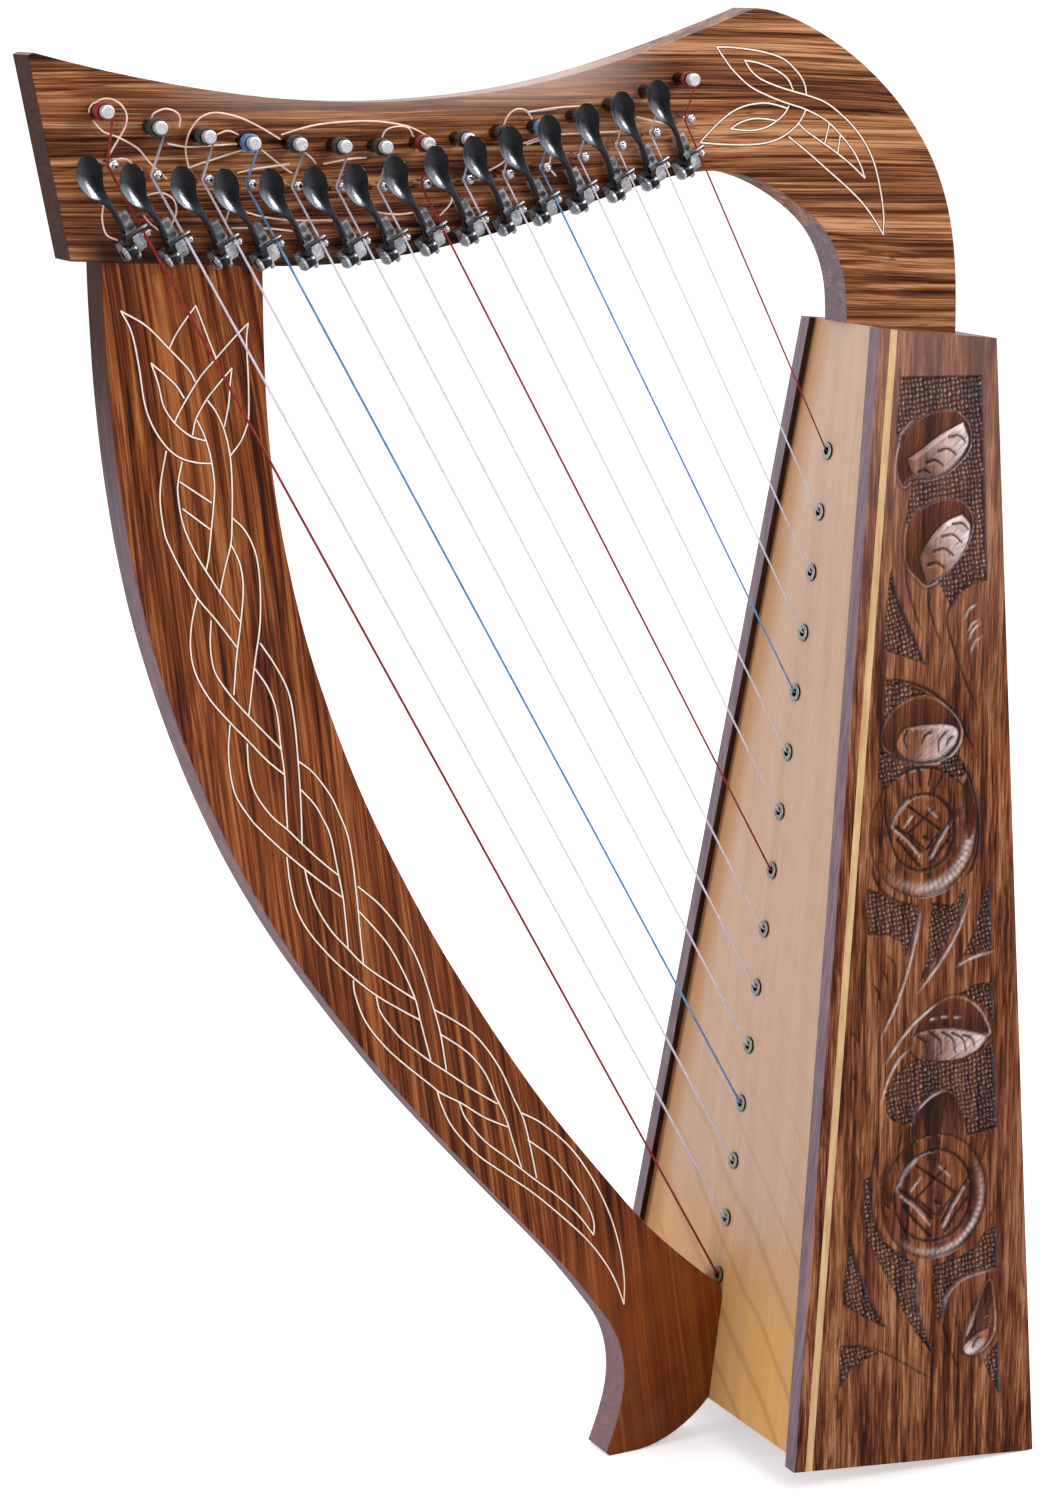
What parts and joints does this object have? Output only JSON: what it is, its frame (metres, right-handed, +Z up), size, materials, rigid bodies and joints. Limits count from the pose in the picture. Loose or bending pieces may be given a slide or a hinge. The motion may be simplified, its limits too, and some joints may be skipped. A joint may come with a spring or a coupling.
{
  "type": "lever harp",
  "caption": "Small floor-standing or lap harp: tapered soundbox, curved neck, bowed pillar, coloured strings on pegs, each with a flip-up sharping lever.",
  "frame": {"origin": "On the floor under the middle of the harp: the centre of the bounding box in X and Y, at the lowest point in Z", "axes": "+Z up, +X from the pillar side towards the soundbox, -Y the side the strings and levers are on"},
  "size_m": [0.4102, 0.164, 0.61],
  "materials": {
    "rosewood": "gloss lacquer over dark streaked rosewood",
    "birch": "satin, pale fine-grained",
    "beech": "plain",
    "maple": "gloss",
    "nickel": "nickel plated",
    "chrome": "polished",
    "pin_steel": "nickel plated steel",
    "gunmetal": "black nickel, satin",
    "nylon_red": "clear dyed nylon",
    "nylon_blue": "clear dyed nylon",
    "nylon_clear": "clear nylon"
  },
  "bodies": {
    "harp_frame": {"neck": "rosewood", "pillar": "rosewood", "soundboard": "birch", "side_panel_left": "rosewood", "side_panel_right": "rosewood", "back_panel": "rosewood", "top_block": "rosewood", "bottom_block": "rosewood", "floor_board": "rosewood", "string_rib": "beech", "front_liners": "birch", "back_liners": "birch", "back_braces": "birch", "purfling_strips": "maple", "neck_pillar_dowels": "beech", "neck_box_dowels": "beech", "pillar_foot_dowels": "beech", "eyelets": "nickel", "string_knots": "nylon_clear", "bridge_pins": "chrome", "lever_brackets": "gunmetal", "lever_screws": "chrome", "fret_rods": "chrome", "lever_rivets": "gunmetal", "strings_red": "nylon_red", "strings_blue": "nylon_blue", "strings_clear": "nylon_clear"},
    "pin_01": {"tuning_pin_01": "pin_steel"},
    "lever_01": {"lever_01": "gunmetal"},
    "pin_02": {"tuning_pin_02": "pin_steel"},
    "lever_02": {"lever_02": "gunmetal"},
    "pin_03": {"tuning_pin_03": "pin_steel"},
    "lever_03": {"lever_03": "gunmetal"},
    "pin_04": {"tuning_pin_04": "pin_steel"},
    "lever_04": {"lever_04": "gunmetal"},
    "pin_05": {"tuning_pin_05": "pin_steel"},
    "lever_05": {"lever_05": "gunmetal"},
    "pin_06": {"tuning_pin_06": "pin_steel"},
    "lever_06": {"lever_06": "gunmetal"},
    "pin_07": {"tuning_pin_07": "pin_steel"},
    "lever_07": {"lever_07": "gunmetal"},
    "pin_08": {"tuning_pin_08": "pin_steel"},
    "lever_08": {"lever_08": "gunmetal"},
    "pin_09": {"tuning_pin_09": "pin_steel"},
    "lever_09": {"lever_09": "gunmetal"},
    "pin_10": {"tuning_pin_10": "pin_steel"},
    "lever_10": {"lever_10": "gunmetal"},
    "pin_11": {"tuning_pin_11": "pin_steel"},
    "lever_11": {"lever_11": "gunmetal"},
    "pin_12": {"tuning_pin_12": "pin_steel"},
    "lever_12": {"lever_12": "gunmetal"},
    "pin_13": {"tuning_pin_13": "pin_steel"},
    "lever_13": {"lever_13": "gunmetal"},
    "pin_14": {"tuning_pin_14": "pin_steel"},
    "lever_14": {"lever_14": "gunmetal"},
    "pin_15": {"tuning_pin_15": "pin_steel"},
    "lever_15": {"lever_15": "gunmetal"}
  },
  "joints": [
    {"name": "tuning_pin_turn_01", "type": "hinge", "parent": "harp_frame", "child": "pin_01", "pos_m": [-0.1797, 0.0035, 0.5748], "axis": [0, 1, 0], "continuous": true},
    {"name": "tuning_pin_turn_02", "type": "hinge", "parent": "harp_frame", "child": "pin_02", "pos_m": [-0.1591, 0.0035, 0.5686], "axis": [0, 1, 0], "continuous": true},
    {"name": "tuning_pin_turn_03", "type": "hinge", "parent": "harp_frame", "child": "pin_03", "pos_m": [-0.1399, 0.0035, 0.5649], "axis": [0, 1, 0], "continuous": true},
    {"name": "tuning_pin_turn_04", "type": "hinge", "parent": "harp_frame", "child": "pin_04", "pos_m": [-0.122, 0.0035, 0.5621], "axis": [0, 1, 0], "continuous": true},
    {"name": "tuning_pin_turn_05", "type": "hinge", "parent": "harp_frame", "child": "pin_05", "pos_m": [-0.1031, 0.0035, 0.5613], "axis": [0, 1, 0], "continuous": true},
    {"name": "tuning_pin_turn_06", "type": "hinge", "parent": "harp_frame", "child": "pin_06", "pos_m": [-0.0848, 0.0035, 0.5601], "axis": [0, 1, 0], "continuous": true},
    {"name": "tuning_pin_turn_07", "type": "hinge", "parent": "harp_frame", "child": "pin_07", "pos_m": [-0.0678, 0.0035, 0.5594], "axis": [0, 1, 0], "continuous": true},
    {"name": "tuning_pin_turn_08", "type": "hinge", "parent": "harp_frame", "child": "pin_08", "pos_m": [-0.05, 0.0035, 0.5603], "axis": [0, 1, 0], "continuous": true},
    {"name": "tuning_pin_turn_09", "type": "hinge", "parent": "harp_frame", "child": "pin_09", "pos_m": [-0.0328, 0.0035, 0.5616], "axis": [0, 1, 0], "continuous": true},
    {"name": "tuning_pin_turn_10", "type": "hinge", "parent": "harp_frame", "child": "pin_10", "pos_m": [-0.0156, 0.0035, 0.5633], "axis": [0, 1, 0], "continuous": true},
    {"name": "tuning_pin_turn_11", "type": "hinge", "parent": "harp_frame", "child": "pin_11", "pos_m": [0.0009, 0.0035, 0.5652], "axis": [0, 1, 0], "continuous": true},
    {"name": "tuning_pin_turn_12", "type": "hinge", "parent": "harp_frame", "child": "pin_12", "pos_m": [0.018, 0.0035, 0.5689], "axis": [0, 1, 0], "continuous": true},
    {"name": "tuning_pin_turn_13", "type": "hinge", "parent": "harp_frame", "child": "pin_13", "pos_m": [0.0344, 0.0035, 0.5732], "axis": [0, 1, 0], "continuous": true},
    {"name": "tuning_pin_turn_14", "type": "hinge", "parent": "harp_frame", "child": "pin_14", "pos_m": [0.0505, 0.0035, 0.578], "axis": [0, 1, 0], "continuous": true},
    {"name": "tuning_pin_turn_15", "type": "hinge", "parent": "harp_frame", "child": "pin_15", "pos_m": [0.0661, 0.0035, 0.5826], "axis": [0, 1, 0], "continuous": true},
    {"name": "lever_flip_01", "type": "hinge", "parent": "harp_frame", "child": "lever_01", "pos_m": [-0.16907, -0.0098, 0.52367], "axis": [0.8711, 0, 0.4911], "range_deg": [0, 100]},
    {"name": "lever_flip_02", "type": "hinge", "parent": "harp_frame", "child": "lever_02", "pos_m": [-0.15235, -0.0098, 0.52057], "axis": [0.8687, 0, 0.4954], "range_deg": [0, 100]},
    {"name": "lever_flip_03", "type": "hinge", "parent": "harp_frame", "child": "lever_03", "pos_m": [-0.13258, -0.0098, 0.51903], "axis": [0.8696, 0, 0.4938], "range_deg": [0, 100]},
    {"name": "lever_flip_04", "type": "hinge", "parent": "harp_frame", "child": "lever_04", "pos_m": [-0.11548, -0.0098, 0.51775], "axis": [0.868, 0, 0.4965], "range_deg": [0, 100]},
    {"name": "lever_flip_05", "type": "hinge", "parent": "harp_frame", "child": "lever_05", "pos_m": [-0.09726, -0.0098, 0.51726], "axis": [0.868, 0, 0.4966], "range_deg": [0, 100]},
    {"name": "lever_flip_06", "type": "hinge", "parent": "harp_frame", "child": "lever_06", "pos_m": [-0.07954, -0.0098, 0.51751], "axis": [0.8678, 0, 0.4969], "range_deg": [0, 100]},
    {"name": "lever_flip_07", "type": "hinge", "parent": "harp_frame", "child": "lever_07", "pos_m": [-0.06276, -0.0098, 0.51832], "axis": [0.8668, 0, 0.4986], "range_deg": [0, 100]},
    {"name": "lever_flip_08", "type": "hinge", "parent": "harp_frame", "child": "lever_08", "pos_m": [-0.04604, -0.0098, 0.52078], "axis": [0.8669, 0, 0.4985], "range_deg": [0, 100]},
    {"name": "lever_flip_09", "type": "hinge", "parent": "harp_frame", "child": "lever_09", "pos_m": [-0.02895, -0.0098, 0.524], "axis": [0.8682, 0, 0.4962], "range_deg": [0, 100]},
    {"name": "lever_flip_10", "type": "hinge", "parent": "harp_frame", "child": "lever_10", "pos_m": [-0.01264, -0.0098, 0.52732], "axis": [0.8686, 0, 0.4956], "range_deg": [0, 100]},
    {"name": "lever_flip_11", "type": "hinge", "parent": "harp_frame", "child": "lever_11", "pos_m": [0.00291, -0.0098, 0.53076], "axis": [0.8677, 0, 0.497], "range_deg": [0, 100]},
    {"name": "lever_flip_12", "type": "hinge", "parent": "harp_frame", "child": "lever_12", "pos_m": [0.01946, -0.0098, 0.53472], "axis": [0.8693, 0, 0.4942], "range_deg": [0, 100]},
    {"name": "lever_flip_13", "type": "hinge", "parent": "harp_frame", "child": "lever_13", "pos_m": [0.03609, -0.0098, 0.53869], "axis": [0.8716, 0, 0.4903], "range_deg": [0, 100]},
    {"name": "lever_flip_14", "type": "hinge", "parent": "harp_frame", "child": "lever_14", "pos_m": [0.05166, -0.0098, 0.54291], "axis": [0.872, 0, 0.4894], "range_deg": [0, 100]},
    {"name": "lever_flip_15", "type": "hinge", "parent": "harp_frame", "child": "lever_15", "pos_m": [0.0675, -0.0098, 0.54704], "axis": [0.8734, 0, 0.4871], "range_deg": [0, 100]}
  ]
}
